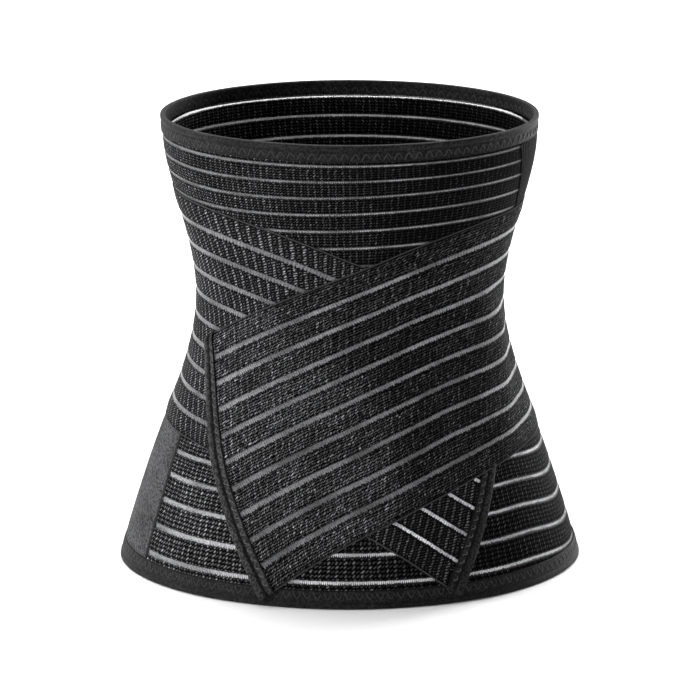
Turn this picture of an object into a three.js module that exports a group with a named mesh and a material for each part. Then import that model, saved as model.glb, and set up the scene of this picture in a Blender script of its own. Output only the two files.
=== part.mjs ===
// An abdominal binder, closed as it is worn: a striped elastic tube shaped like an hourglass, a tape
// folded over each rim, a smooth panel at each side, and two wide elastic straps that cross in front.
// Millimetres, +Z up, the wearer's front towards -Y, the bottom rim standing on Z = 0.
// Angles run round the body in degrees from the front, positive towards +X.

import * as THREE from 'three';

// Body form, measured on the outer face of the elastic tube
const binderHeight = 315;
const waistHeight = 192;
const hemHalfWidth = 159.2;
const hemHalfDepth = 114.3;
const waistHalfWidth = 104.0;
const waistHalfDepth = 80.4;
const topHalfWidth = 126.8;
const topHalfDepth = 91.4;
const hemTurn = 1.5; // degrees that the bottom rim has twisted round the upright axis

// Cloth and tape
const wallThickness = 1.6;
const strapThickness = 1.3;
const tapeThickness = 1.0;
const panelThickness = 1.0;
const topFlangeOutside = 11.5;
const topFlangeInside = 9.5;
const bottomFlangeOutside = 13;
const bottomFlangeInside = 9.5;
const strapEndFlange = 10;
const bevelShare = 0.9; // how much of its thickness a tape's folded corner loses

// Clearances
const tapeGap = 0.3; // between a tape and the edge folded inside it
const panelGap = 0.4; // between a side panel and the tube
const layerGap = 0.7; // between a strap and what it lies on

// Straps: the over strap is drawn with its root towards +X, and the under strap is its mirror image
const rootAngle = 112; // where both straps are sewn on, behind the sides
const endLowAngle = -23; // lower corner of the free end
const endHighAngle = -63.8; // upper corner of the free end
const underRise = 8.5; // how much higher the under strap lies
const underReach = 3.5; // degrees that the under strap's end lies further round

// Side panels
const leftPanelFront = -64.5;
const rightPanelFrontTop = 63.8;
const rightPanelFrontLow = 72.4;
const panelTuck = 9; // how far a panel runs on under a strap

// How a strap steps over what lies under it
const drapeMargin = 10; // it stays fully lifted this far past the edge
const drapeLength = 14; // and comes down over this distance
const tapeMargin = 20; // the same past the under strap's tape, which it steps over more gently

// Facets
const tubeSides = 56;
const tubeRows = 18;
const strapColumns = 28;
const strapRows = 11;
const panelColumns = 10;
const panelRows = 6;

// Hourglass below the waist. Up: share of the way from the hem to the waist. Wide and deep: share of
// the flare from the waist's half width and half depth to the hem's.
const belowWaist = [
  { up: 0.000, wide: 1.000, deep: 1.000 },
  { up: 0.125, wide: 0.880, deep: 0.942 },
  { up: 0.250, wide: 0.744, deep: 0.836 },
  { up: 0.375, wide: 0.600, deep: 0.704 },
  { up: 0.500, wide: 0.446, deep: 0.546 },
  { up: 0.625, wide: 0.276, deep: 0.345 },
  { up: 0.750, wide: 0.132, deep: 0.172 },
  { up: 0.875, wide: 0.032, deep: 0.045 },
];

// Hourglass above the waist, in the same way from the waist to the top rim
const aboveWaist = [
  { up: 0.0, wide: 0.000, deep: 0.000 },
  { up: 0.2, wide: 0.116, deep: 0.140 },
  { up: 0.4, wide: 0.364, deep: 0.440 },
  { up: 0.6, wide: 0.700, deep: 0.780 },
  { up: 0.8, wide: 0.940, deep: 0.960 },
  { up: 1.0, wide: 1.000, deep: 1.000 },
];

// Strap edges of the over strap. Around: degrees from the front. Up: share of the binder's height.
const strapTopEdge = [
  { around: -66, up: 0.528 },
  { around: -45, up: 0.592 },
  { around: -22, up: 0.658 },
  { around: 0, up: 0.716 },
  { around: 22, up: 0.768 },
  { around: 45, up: 0.802 },
  { around: 70, up: 0.814 },
  { around: 112, up: 0.817 },
];
const strapBottomEdge = [
  { around: -24, up: 0.006 },
  { around: -12, up: 0.084 },
  { around: 0, up: 0.145 },
  { around: 12, up: 0.189 },
  { around: 25, up: 0.230 },
  { around: 40, up: 0.266 },
  { around: 60, up: 0.289 },
  { around: 112, up: 0.302 },
];

const { lerp, smoothstep, degToRad } = THREE.MathUtils;

// A smooth curve y(x) through points: cubic pieces whose slope at a point follows its neighbours.
// Past either end it runs on straight.
function curveThrough(points) {
  const slopes = points.map((point, i) => {
    const before = points[Math.max(i - 1, 0)];
    const after = points[Math.min(i + 1, points.length - 1)];
    return (after[1] - before[1]) / (after[0] - before[0]);
  });
  return (x) => {
    const last = points.length - 1;
    if (x <= points[0][0]) return points[0][1] + slopes[0] * (x - points[0][0]);
    if (x >= points[last][0]) return points[last][1] + slopes[last] * (x - points[last][0]);
    const i = points.findIndex((point) => point[0] > x) - 1;
    const span = points[i + 1][0] - points[i][0];
    const t = (x - points[i][0]) / span;
    const bend = t * t * (3 - 2 * t);
    return lerp(points[i][1], points[i + 1][1], bend)
      + span * t * (1 - t) * (slopes[i] * (1 - t) - slopes[i + 1] * t);
  };
}

// Half size of the tube at each row of the two hourglass tables
function sectionCurve(share, hem, waist, top) {
  const low = belowWaist.map((row) => [row.up * waistHeight, lerp(waist, hem, row[share])]);
  const high = aboveWaist.map((row) => [
    lerp(waistHeight, binderHeight, row.up),
    lerp(waist, top, row[share]),
  ]);
  return curveThrough([...low, ...high]);
}

const halfWidth = sectionCurve('wide', hemHalfWidth, waistHalfWidth, topHalfWidth);
const halfDepth = sectionCurve('deep', hemHalfDepth, waistHalfDepth, topHalfDepth);
const topEdge = curveThrough(strapTopEdge.map((row) => [row.around, row.up * binderHeight]));
const bottomEdge = curveThrough(strapBottomEdge.map((row) => [row.around, row.up * binderHeight]));

// Point at an angle and height, a distance outside the tube's outer face
function place(around, z, outside) {
  const angle = degToRad(around);
  const twist = degToRad(hemTurn) * Math.max(0, 1 - z / binderHeight) ** 1.5;
  const point = new THREE.Vector3(
    (halfWidth(z) + outside) * Math.sin(angle),
    -(halfDepth(z) + outside) * Math.cos(angle),
    z,
  );
  return point.applyAxisAngle(new THREE.Vector3(0, 0, 1), twist);
}

// Closed body between two grids of points, face(i, j) and back(i, j), with its rims filled.
// A looped body joins its last column to its first. Each quad is cut along its shorter diagonal.
function sheetBody(columns, rows, looped, face, back) {
  const stations = looped ? columns : columns + 1;
  const points = [];
  for (const grid of [face, back]) {
    for (let i = 0; i < stations; i += 1) {
      for (let j = 0; j <= rows; j += 1) points.push(grid(i, j));
    }
  }
  const at = (side, i, j) => (side * stations + (i % stations)) * (rows + 1) + j;
  const triangles = [];
  const quad = (a, b, c, d) => {
    const straight = points[a].distanceTo(points[c]);
    const crossed = points[b].distanceTo(points[d]);
    if (straight < crossed * 1.001) triangles.push(a, b, c, a, c, d);
    else triangles.push(a, b, d, b, c, d);
  };
  for (let i = 0; i < columns; i += 1) {
    for (let j = 0; j < rows; j += 1) {
      quad(at(0, i, j), at(0, i + 1, j), at(0, i + 1, j + 1), at(0, i, j + 1));
      quad(at(1, i, j), at(1, i, j + 1), at(1, i + 1, j + 1), at(1, i + 1, j));
    }
    quad(at(0, i, 0), at(1, i, 0), at(1, i + 1, 0), at(0, i + 1, 0));
    quad(at(0, i, rows), at(0, i + 1, rows), at(1, i + 1, rows), at(1, i, rows));
  }
  if (!looped) {
    for (let j = 0; j < rows; j += 1) {
      quad(at(0, 0, j), at(0, 0, j + 1), at(1, 0, j + 1), at(1, 0, j));
      quad(at(0, columns, j), at(1, columns, j), at(1, columns, j + 1), at(0, columns, j + 1));
    }
  }
  return solid(points, triangles);
}

// Geometry of a closed body, turned so that its faces point outwards
function solid(points, triangles) {
  let volume = 0;
  const normal = new THREE.Vector3();
  for (let t = 0; t < triangles.length; t += 3) {
    const [a, b, c] = [0, 1, 2].map((k) => points[triangles[t + k]]);
    volume += normal.crossVectors(a, b).dot(c);
  }
  const outward = volume > 0 ? triangles : [...triangles].reverse();
  const geometry = new THREE.BufferGeometry().setFromPoints(points);
  geometry.setIndex(outward);
  geometry.computeVertexNormals();
  return geometry;
}

// Section of a tape folded over an edge, as pairs of points on its outside and its inside.
// Along: distance back from the fold. Out: distance outside the cloth's outer face.
function foldedTape(thickness, flangeOutside, flangeInside) {
  const outer = tapeGap + tapeThickness;
  const inner = -thickness - outer;
  const bevel = tapeThickness * bevelShare;
  const crease = tapeGap;
  return [
    { face: [flangeOutside, outer], back: [flangeOutside, tapeGap] },
    { face: [bevel, outer], back: [tapeThickness + crease, tapeGap] },
    { face: [0, outer - bevel], back: [tapeThickness, tapeGap - crease] },
    { face: [0, inner + bevel], back: [tapeThickness, crease - thickness - tapeGap] },
    { face: [bevel, inner], back: [tapeThickness + crease, -thickness - tapeGap] },
    { face: [flangeInside, inner], back: [flangeInside, -thickness - tapeGap] },
  ];
}

// The striped elastic tube, between the two folded tapes
function makeBasePanel() {
  const bottom = tapeThickness + tapeGap;
  const top = binderHeight - bottom;
  const point = (i, j, outside) => place(360 * i / tubeSides, lerp(bottom, top, j / tubeRows), outside);
  const face = (i, j) => point(i, j, 0);
  const back = (i, j) => point(i, j, -wallThickness);
  return sheetBody(tubeSides, tubeRows, true, face, back);
}

// Tape folded over a rim of the tube. The rim is at a height, and inward is the way into the cloth.
function makeRimBinding(rim, inward, flangeOutside, flangeInside) {
  const section = foldedTape(wallThickness, flangeOutside, flangeInside);
  const point = (i, [along, out]) => place(360 * i / tubeSides, rim + inward * along, out);
  const face = (i, j) => point(i, section[j].face);
  const back = (i, j) => point(i, section[j].back);
  return sheetBody(tubeSides, section.length - 1, true, face, back);
}

// 1 within an outline and a margin past it, 0 beyond the drape. Inside: distance within the outline.
function cover(inside, margin = drapeMargin) {
  return smoothstep(inside, -margin - drapeLength, -margin);
}

const paceStretch = 0.01; // share of a strap's way over which its pace at the free end is measured

// A strap by its side (1 for the over strap), its rise and its reach round the body. Length: what the
// whole way from root to end measures at the pace of its last stretch.
function makeStrap(side, rise, reach) {
  const endLow = endLowAngle - reach;
  const endHigh = endHighAngle - reach;
  const low = (around) => bottomEdge(around) + rise;
  const high = (around) => topEdge(around) + rise;
  const strap = { side, endLow, endHigh, low, high };
  const middle = (along) => place(...strapPlace(strap, along, 0.5), 0);
  strap.length = middle(1).distanceTo(middle(1 - paceStretch)) / paceStretch;
  return strap;
}

// Angle and height on a strap. Along: 0 at the root to 1 at the free end. Across: 0 at the lower edge
// to 1 at the upper edge.
function strapPlace(strap, along, across) {
  const lowAround = lerp(rootAngle, strap.endLow, along);
  const highAround = lerp(rootAngle, strap.endHigh, along);
  const around = strap.side * lerp(lowAround, highAround, across);
  return [around, lerp(strap.low(lowAround), strap.high(highAround), across)];
}

const overStrap = makeStrap(1, 0, 0);
const underStrap = makeStrap(-1, underRise, underReach);
const arcPerDegree = degToRad((waistHalfWidth + waistHalfDepth) / 2);

// Distance within the edges of a strap, and within its free end, at an angle and height
function insideStrap(strap, around, z) {
  const own = around * strap.side;
  const edges = Math.min(z - strap.low(own), strap.high(own) - z);
  const rise = (z - strap.low(strap.endLow)) / (strap.high(strap.endHigh) - strap.low(strap.endLow));
  const end = (own - lerp(strap.endLow, strap.endHigh, rise)) * arcPerDegree;
  return { edges, end };
}

// Side panels: front edge, lower edge and upper edge at a share of the way back to the strap roots
const leftPanel = {
  side: -1,
  front: () => -leftPanelFront,
  bottom: () => bottomFlangeOutside + tapeGap,
  top: (around) => underStrap.low(around) + panelTuck,
};
const rightPanel = {
  side: 1,
  front: (share) => lerp(rightPanelFrontLow, rightPanelFrontTop, share),
  bottom: (around) => overStrap.high(around) - panelTuck,
  top: () => binderHeight - topFlangeOutside - tapeGap,
};

// Height of what lies on the bare tube at an angle and height: the bottom tape and the side panels
function groundLift(around, z) {
  const hem = cover(bottomFlangeOutside - z) * (tapeGap + tapeThickness);
  const panels = [leftPanel, rightPanel].map((panel) => {
    const own = around * panel.side;
    const front = (own - Math.min(panel.front(0), panel.front(1))) * arcPerDegree;
    const inside = Math.min(front, z - panel.bottom(own), panel.top(own) - z);
    return cover(inside) * (panelGap + panelThickness);
  });
  return Math.max(hem, ...panels);
}

// Lift of a strap's back face at an angle and height, and a distance from its free end
function strapLift(strap, around, z, fromEnd) {
  const tape = tapeThickness + tapeGap;
  let ground = groundLift(around, z);
  if (strap === overStrap) {
    const under = insideStrap(underStrap, around, z);
    const onUnder = cover(Math.min(under.edges, under.end));
    const onTape = cover(strapEndFlange - under.end, tapeMargin);
    ground += onUnder * (layerGap + strapThickness + 2 * tape * onTape);
  }
  return ground + layerGap + tape * cover(strapEndFlange - fromEnd);
}

// Point of a strap, a distance outside its back face
function strapPoint(strap, along, across, out) {
  const [around, z] = strapPlace(strap, along, across);
  return place(around, z, strapLift(strap, around, z, (1 - along) * strap.length) + out);
}

// The cloth of a strap. Its last column spans the folded tape's flange.
function makeStrapCloth(strap) {
  const flange = 1 - strapEndFlange / strap.length;
  const cut = 1 - (tapeThickness + tapeGap) / strap.length;
  const along = (i) => (i < strapColumns ? flange * i / (strapColumns - 1) : cut);
  const face = (i, j) => strapPoint(strap, along(i), j / strapRows, strapThickness);
  const back = (i, j) => strapPoint(strap, along(i), j / strapRows, 0);
  return sheetBody(strapColumns, strapRows, false, face, back);
}

// The tape folded over a strap's free end
function makeStrapBinding(strap) {
  const section = foldedTape(strapThickness, strapEndFlange, strapEndFlange);
  const point = (i, [back, out]) =>
    strapPoint(strap, 1 - back / strap.length, i / strapRows, strapThickness + out);
  const face = (i, j) => point(i, section[j].face);
  const back = (i, j) => point(i, section[j].back);
  return sheetBody(strapRows, section.length - 1, false, face, back);
}

// A smooth side panel, from its front edge back to the strap roots
function makeSidePanel(panel) {
  const point = (i, j, outside) => {
    const share = j / panelRows;
    const around = lerp(panel.front(share), rootAngle, i / panelColumns);
    const z = lerp(panel.bottom(around), panel.top(around), share);
    return place(around * panel.side, z, outside);
  };
  const face = (i, j) => point(i, j, panelGap + panelThickness);
  const back = (i, j) => point(i, j, panelGap);
  return sheetBody(panelColumns, panelRows, false, face, back);
}

const elastic = { color: 0x1b1b1d, roughness: 0.88, metalness: 0 };
const tape = { color: 0x242426, roughness: 0.75, metalness: 0 };
const pile = { color: 0x3c3c3e, roughness: 0.95, metalness: 0 };
const plainCloth = { color: 0x121214, roughness: 0.9, metalness: 0 };

function piece(name, geometry, finish) {
  const mesh = new THREE.Mesh(geometry, new THREE.MeshStandardMaterial(finish));
  mesh.name = name;
  return mesh;
}

const binder = new THREE.Group();
binder.name = 'abdominal_binder';
binder.add(
  piece('base_panel', makeBasePanel(), elastic),
  piece('top_binding', makeRimBinding(binderHeight, -1, topFlangeOutside, topFlangeInside), tape),
  piece('bottom_binding', makeRimBinding(0, 1, bottomFlangeOutside, bottomFlangeInside), tape),
  piece('left_side_panel', makeSidePanel(leftPanel), pile),
  piece('right_side_panel', makeSidePanel(rightPanel), plainCloth),
  piece('under_strap', makeStrapCloth(underStrap), elastic),
  piece('under_strap_binding', makeStrapBinding(underStrap), tape),
  piece('over_strap', makeStrapCloth(overStrap), elastic),
  piece('over_strap_binding', makeStrapBinding(overStrap), tape),
);

export default binder;
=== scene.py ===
# Looks of an abdominal binder, closed as it is worn: a striped elastic tube shaped like an hourglass,
# a tape folded over each rim, a smooth panel at each side, and two wide elastic straps that cross in front.
# Metres, Z up, the wearer's front towards -Y, standing on its bottom rim. Angles run round the body in
# degrees from the front, positive towards +X.

import math

import bpy
import numpy as np
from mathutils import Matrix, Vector


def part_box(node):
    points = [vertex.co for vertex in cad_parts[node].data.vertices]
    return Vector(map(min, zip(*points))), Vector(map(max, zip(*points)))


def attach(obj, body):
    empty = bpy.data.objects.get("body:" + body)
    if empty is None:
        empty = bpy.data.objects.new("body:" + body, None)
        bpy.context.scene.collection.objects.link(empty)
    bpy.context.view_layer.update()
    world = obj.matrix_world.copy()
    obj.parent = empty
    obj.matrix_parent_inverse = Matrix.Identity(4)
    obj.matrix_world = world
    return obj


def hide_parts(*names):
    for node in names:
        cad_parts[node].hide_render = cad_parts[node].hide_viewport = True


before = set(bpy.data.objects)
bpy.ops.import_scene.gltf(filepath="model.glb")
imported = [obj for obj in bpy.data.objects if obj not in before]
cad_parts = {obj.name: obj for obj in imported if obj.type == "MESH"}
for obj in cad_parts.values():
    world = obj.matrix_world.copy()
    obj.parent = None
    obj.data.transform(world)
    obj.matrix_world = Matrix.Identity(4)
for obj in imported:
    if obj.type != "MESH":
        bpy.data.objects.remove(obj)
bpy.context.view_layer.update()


# small maths

def mixed(a, b, share):
    return a + (b - a) * share


def eased(x, low, high):
    # 0 below low, 1 above high, and an S curve between them
    t = np.clip((x - low) / (high - low), 0, 1)
    return t * t * (3 - 2 * t)


def curveThrough(table):
    # a smooth curve through the points of a table: cubic pieces whose slope at a point is that of the line
    # between its two neighbours, running on straight past both ends
    xs, ys = (np.array(column, float) for column in zip(*table))
    before = np.maximum(np.arange(len(xs)) - 1, 0)
    after = np.minimum(np.arange(len(xs)) + 1, len(xs) - 1)
    slopes = (ys[after] - ys[before]) / (xs[after] - xs[before])

    def at(x):
        x = np.asarray(x, float)
        i = np.clip(np.searchsorted(xs, x, side="right") - 1, 0, len(xs) - 2)
        span = xs[i + 1] - xs[i]
        t = np.clip((x - xs[i]) / span, 0, 1)
        y = mixed(ys[i], ys[i + 1], eased(t, 0, 1))
        y = y + span * t * (1 - t) * (slopes[i] * (1 - t) - slopes[i + 1] * t)
        return y + slopes[0] * np.minimum(x - xs[0], 0) + slopes[-1] * np.maximum(x - xs[-1], 0)

    return at


# body form that all the pieces follow

body = {
    "height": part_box("top_binding")[1].z,
    "waistAt": 0.192,
    "hem": (0.1592, 0.1143),  # half width and half depth
    "waist": (0.1040, 0.0804),
    "top": (0.1268, 0.0914),
    "hemTurn": 1.5,  # degrees that the bottom rim has twisted
    "belowWaist": [  # share of the way up, then of the flare in width and in depth
        (0.000, 1.000, 1.000), (0.125, 0.880, 0.942), (0.250, 0.744, 0.836), (0.375, 0.600, 0.704),
        (0.500, 0.446, 0.546), (0.625, 0.276, 0.345), (0.750, 0.132, 0.172), (0.875, 0.032, 0.045),
    ],
    "aboveWaist": [
        (0.0, 0.000, 0.000), (0.2, 0.116, 0.140), (0.4, 0.364, 0.440),
        (0.6, 0.700, 0.780), (0.8, 0.940, 0.960), (1.0, 1.000, 1.000),
    ],
    "ripple": 0.00035,  # how uneven the cloth lies
}


def sectionCurve(which):
    # half size by height: the waist's, plus a share of the flare to the hem below it and to the top above it
    waist = body["waist"][which]
    low = [(row[0] * body["waistAt"], mixed(waist, body["hem"][which], row[1 + which]))
           for row in body["belowWaist"]]
    high = [(mixed(body["waistAt"], body["height"], row[0]), mixed(waist, body["top"][which], row[1 + which]))
            for row in body["aboveWaist"]]
    return curveThrough(low + high)


halfWidth, halfDepth = sectionCurve(0), sectionCurve(1)


def onBody(around, z, out):
    # an ellipse at each height, standing off by out and by a slow ripple, and turned a little towards the hem
    a = np.radians(around)
    ripple = np.sin(3 * a + 40 * z) + np.sin(5 * a - 55 * z + 1) + np.sin(9 * a + 23 * z + 2)
    out = out + body["ripple"] * ripple / 3
    x = (halfWidth(z) + out) * np.sin(a)
    y = -(halfDepth(z) + out) * np.cos(a)
    turn = np.radians(body["hemTurn"]) * np.maximum(0, 1 - z / body["height"]) ** 1.5
    return np.stack([x * np.cos(turn) - y * np.sin(turn), x * np.sin(turn) + y * np.cos(turn), z + 0 * x], -1)


# mesh making

def placed(name, data):
    # a new object in the scene
    item = bpy.data.objects.new(name, data)
    bpy.context.scene.collection.objects.link(item)
    return item


def loft(name, points, uv, materials, closedPath=False, kinds=None):
    # a closed outline carried along a path: points[i, j] is point j of the outline at station i, and each
    # quad joins two stations. An open path gets end caps, which join point j to its opposite on the outline.
    stations, size = points.shape[:2]
    index = np.arange(stations * size).reshape(stations, size)
    here = index if closedPath else index[:-1]
    there = np.roll(index, -1, 0) if closedPath else index[1:]
    quads = [np.stack([here, there, np.roll(there, -1, 1), np.roll(here, -1, 1)], -1).reshape(-1, 4)]
    near, far = uv[:-1], uv[1:]
    corners = [np.stack([near, far, np.roll(far, -1, 1), np.roll(near, -1, 1)], 2).reshape(-1, 4, 2)]
    kind = [np.zeros(quads[0].shape[0], int) if kinds is None else np.tile(kinds, len(here))]
    if not closedPath:
        j = np.arange(size // 2 - 1)
        ring = np.stack([j, j + 1, size - 2 - j, size - 1 - j], -1)
        for end, order in ((0, ring), (stations - 1, ring[:, ::-1])):
            quads.append(index[end][order])
            corners.append(uv[end][order])
            kind.append(np.zeros(len(ring), int))
    quads, corners, kind = (np.concatenate(part) for part in (quads, corners, kind))
    flatPoints = points.reshape(-1, 3)
    a, b, c, d = (flatPoints[quads[:, k]] for k in range(4))
    if (a * np.cross(b, c)).sum() + (a * np.cross(c, d)).sum() < 0:  # the volume, so faces point outwards
        quads, corners = quads[:, ::-1], corners[:, ::-1]
    mesh = bpy.data.meshes.new(name)
    mesh.from_pydata(flatPoints.tolist(), [], quads.tolist(), shade_flat=False)
    mesh.polygons.foreach_set("material_index", kind.astype(np.int32))
    mesh.uv_layers.new(name="weave").uv.foreach_set("vector", corners.astype(np.float32).ravel())
    mesh.validate()
    for material in materials:
        mesh.materials.append(material)
    return placed(name, mesh)


def twoFaced(name, face, back, uv, materials, kinds=None):
    # a sheet of cloth whose back has the coordinates of its face
    return loft(name, np.concatenate([face, back[:, ::-1]], 1), np.concatenate([uv, uv[:, ::-1]], 1),
                materials, kinds=kinds)


def cornersCut(line):
    # rounds an open line of points: each corner gives way to two points a quarter of the way along its sides
    line = np.array(line)
    a, b = line[:-1], line[1:]
    cut = np.stack([0.75 * a + 0.25 * b, 0.25 * a + 0.75 * b], 1).reshape(-1, 2)
    return np.concatenate([line[:1], cut[1:-1], line[-1:]])


def surfaceArea(points):
    # area of a grid of points
    a, b = np.diff(points, axis=0)[:, :-1], np.diff(points, axis=1)[:-1]
    return float(np.linalg.norm(np.cross(a, b), axis=-1).sum())


def grid(u, v):
    # texture coordinates, U going with the stations and V with the outline
    return np.stack(np.broadcast_arrays(u, v), -1)


def pathLength(points):
    # length of the way from the first point to each
    return np.concatenate([[0], np.cumsum(np.linalg.norm(np.diff(points, axis=0), axis=-1))])


# shader making

def plug(tree, socket, value):
    if isinstance(value, bpy.types.NodeSocket):
        tree.links.new(value, socket)
    else:
        socket.default_value = value


def calc(tree, operation, *values):
    node = tree.nodes.new("ShaderNodeMath")
    node.operation = operation
    for socket, value in zip(node.inputs, values):
        plug(tree, socket, value)
    return node.outputs[0]


def faded(tree, value, low, high, start=0.0, end=1.0):
    # start below low, end above high, and an S curve between them
    node = tree.nodes.new("ShaderNodeMapRange")
    node.interpolation_type = "SMOOTHSTEP"
    for socket, number in zip(node.inputs, (value, low, high, start, end)):
        plug(tree, socket, number)
    return node.outputs[0]


def between(tree, share, a, b):
    # a share of the way from one number or colour to another
    node = tree.nodes.new("ShaderNodeMix")
    first, made = 2, 0
    if isinstance(a, tuple):
        node.data_type, first, made = "RGBA", 6, 2
    for place, value in ((0, share), (first, a), (first + 1, b)):
        plug(tree, node.inputs[place], value)
    return node.outputs[made]


def product(tree, value, *others):
    for other in others:
        value = calc(tree, "MULTIPLY", value, other)
    return value


def wave(tree, value, length):
    # a sine along a coordinate
    return calc(tree, "SINE", calc(tree, "MULTIPLY", value, 2 * math.pi / length))


def noise(tree, place, scale, detail):
    node = tree.nodes.new("ShaderNodeTexNoise")
    plug(tree, node.inputs["Vector"], place)
    plug(tree, node.inputs["Scale"], scale)
    node.inputs["Detail"].default_value = detail
    return node.outputs


def weaveUv(tree):
    # the piece's own coordinates along and across its cloth
    node = tree.nodes.new("ShaderNodeUVMap")
    node.uv_map = "weave"
    split = tree.nodes.new("ShaderNodeSeparateXYZ")
    tree.links.new(node.outputs[0], split.inputs[0])
    return split.outputs[0], split.outputs[1]


def varied(tree, value, low, high, spread=0.2):
    # a noise, which keeps near a half, drawn out from low to high
    return faded(tree, value, 0.5 - spread, 0.5 + spread, low, high)


def grey(level):
    # neutral, with a trace of blue
    return (level, level, level * 1.04, 1.0)


def makeGroup(name, inputs, outputs):
    # its inputs are numbers and its outputs masks
    group = bpy.data.node_groups.new(name, "ShaderNodeTree")
    for way, labels in (("INPUT", inputs), ("OUTPUT", outputs)):
        for label in labels:
            group.interface.new_socket(name=label, in_out=way, socket_type="NodeSocketFloat")
    return group, group.nodes.new("NodeGroupInput").outputs, group.nodes.new("NodeGroupOutput").inputs


def placeGroup(tree, group, **values):
    node = tree.nodes.new("ShaderNodeGroup")
    node.node_tree = group
    for label, value in values.items():
        plug(tree, node.inputs[label], value)
    return node.outputs


knitInputs = ("uneven", "wander", "dull", "tilt", "holeLength", "holeHeight", "loopLength", "loopHeight")
knit = {
    "pull": 0.75,  # scale of the noise that pulls the rows about
    "holeEdge": (0.8, 1.15),  # start and end of a hole's edge, in its half size
    "loopEdge": (0.35, 1.1),
    "loopLevel": 0.7, "webLevel": 0.035,
    "webHeight": 0.45, "loopHeight": 0.55,
    "contrast": 2.5, "mean": 0.85,  # of the loops' own brightness
}


def makeKnitGroup():
    # an open knit of cells one unit wide and high: a dark hole in the middle of each, dull yarn round it, and
    # between two rows of holes two loops for each cell, which lie along the row and tilt. Every other loop is
    # dull, and uneven is how far each has a brightness of its own. A noise as coarse as the cells pulls the
    # rows about, by wander.
    group, given, made = makeGroup("openKnit", ("along", "across") + knitInputs, ("yarn", "height"))

    def maths(operation, *values):
        return calc(group, operation, *values)

    def spot(x, y):
        node = group.nodes.new("ShaderNodeCombineXYZ")
        plug(group, node.inputs[0], x)
        plug(group, node.inputs[1], y)
        return node.outputs[0]

    def oval(x, y, length, height, edge, start, end):
        # start inside an oval and end outside it
        wide, high = maths("DIVIDE", x, length), maths("DIVIDE", y, height)
        reach = maths("MULTIPLY_ADD", wide, wide, maths("MULTIPLY", high, high))
        return faded(group, maths("SQRT", reach), *edge, start, end)

    def fromMiddle(value, shift):
        # place in a cell, from -0.5 to 0.5
        return maths("SUBTRACT", maths("FRACT", maths("ADD", value, shift)), 0.5)

    pull = group.nodes.new("ShaderNodeSeparateColor")
    place = spot(given["along"], given["across"])
    plug(group, pull.inputs[0], noise(group, place, knit["pull"], 1.0)["Color"])
    shifts = [maths("SUBTRACT", pull.outputs[channel], 0.5) for channel in (0, 1)]
    along, across = (maths("MULTIPLY_ADD", shift, given["wander"], given[label])
                     for shift, label in zip(shifts, ("along", "across")))
    web = oval(fromMiddle(along, 0.0), fromMiddle(across, 0.0), given["holeLength"], given["holeHeight"],
               knit["holeEdge"], 0.0, 1.0)
    crossing = maths("MULTIPLY", along, 2.0)
    x, y = fromMiddle(crossing, 0.5), fromMiddle(across, 0.5)
    leaning = maths("SUBTRACT", y, maths("MULTIPLY", x, given["tilt"]))
    loop = oval(x, leaning, given["loopLength"], given["loopHeight"], knit["loopEdge"], 1.0, 0.0)
    loopNumber = maths("FLOOR", maths("ADD", crossing, 0.5))
    everyOther = maths("FRACT", maths("MULTIPLY", loopNumber, 0.5))
    rowNumber = maths("FLOOR", maths("ADD", across, 0.5))
    own = group.nodes.new("ShaderNodeTexWhiteNoise")
    own.noise_dimensions = "2D"
    plug(group, own.inputs["Vector"], spot(loopNumber, rowNumber))
    lively = maths("SUBTRACT", maths("POWER", own.outputs["Value"], knit["contrast"]), 0.5)
    lively = maths("MULTIPLY_ADD", lively, given["uneven"], knit["mean"])
    level = maths("SUBTRACT", knit["loopLevel"], maths("MULTIPLY", everyOther, given["dull"]))
    crest = product(group, loop, lively, level)
    plug(group, made["yarn"], maths("MULTIPLY_ADD", web, knit["webLevel"], crest))
    raised = maths("MULTIPLY", loop, knit["loopHeight"])
    plug(group, made["height"], maths("MULTIPLY_ADD", web, knit["webHeight"], raised))
    return group


def makeFuzzGroup():
    # fine stray fibres and slow changes of tone: two sizes of noise on the object's own coordinates
    group, given, made = makeGroup("clothFuzz", ("fine", "slow"), ("speckle", "tone"))
    place = group.nodes.new("ShaderNodeTexCoord").outputs["Object"]
    for label, output, detail in (("fine", "speckle", 3.0), ("slow", "tone", 2.0)):
        plug(group, made[output], noise(group, place, given[label], detail)["Fac"])
    return group


knitGroup, fuzzGroup = makeKnitGroup(), makeFuzzGroup()


def newMaterial(name, shown, **sockets):
    # shown is the grey of Blender's plain view, and a socket's name has _ for each space
    material = bpy.data.materials.new(name)
    material.use_nodes = True
    material.diffuse_color = grey(shown)
    tree = material.node_tree
    shader = tree.nodes["Principled BSDF"]
    for label, value in sockets.items():
        shader.inputs[label.replace("_", " ")].default_value = value
    return material, tree, shader


def finish(tree, shader, shade, dark, light, height, distance):
    # the colour goes from dark to light by shade, and the relief by height
    plug(tree, shader.inputs["Base Color"], between(tree, shade, grey(dark), grey(light)))
    bump = tree.nodes.new("ShaderNodeBump")
    bump.inputs["Distance"].default_value = distance
    plug(tree, bump.inputs["Height"], height)
    tree.links.new(bump.outputs[0], shader.inputs["Normal"])


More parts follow.
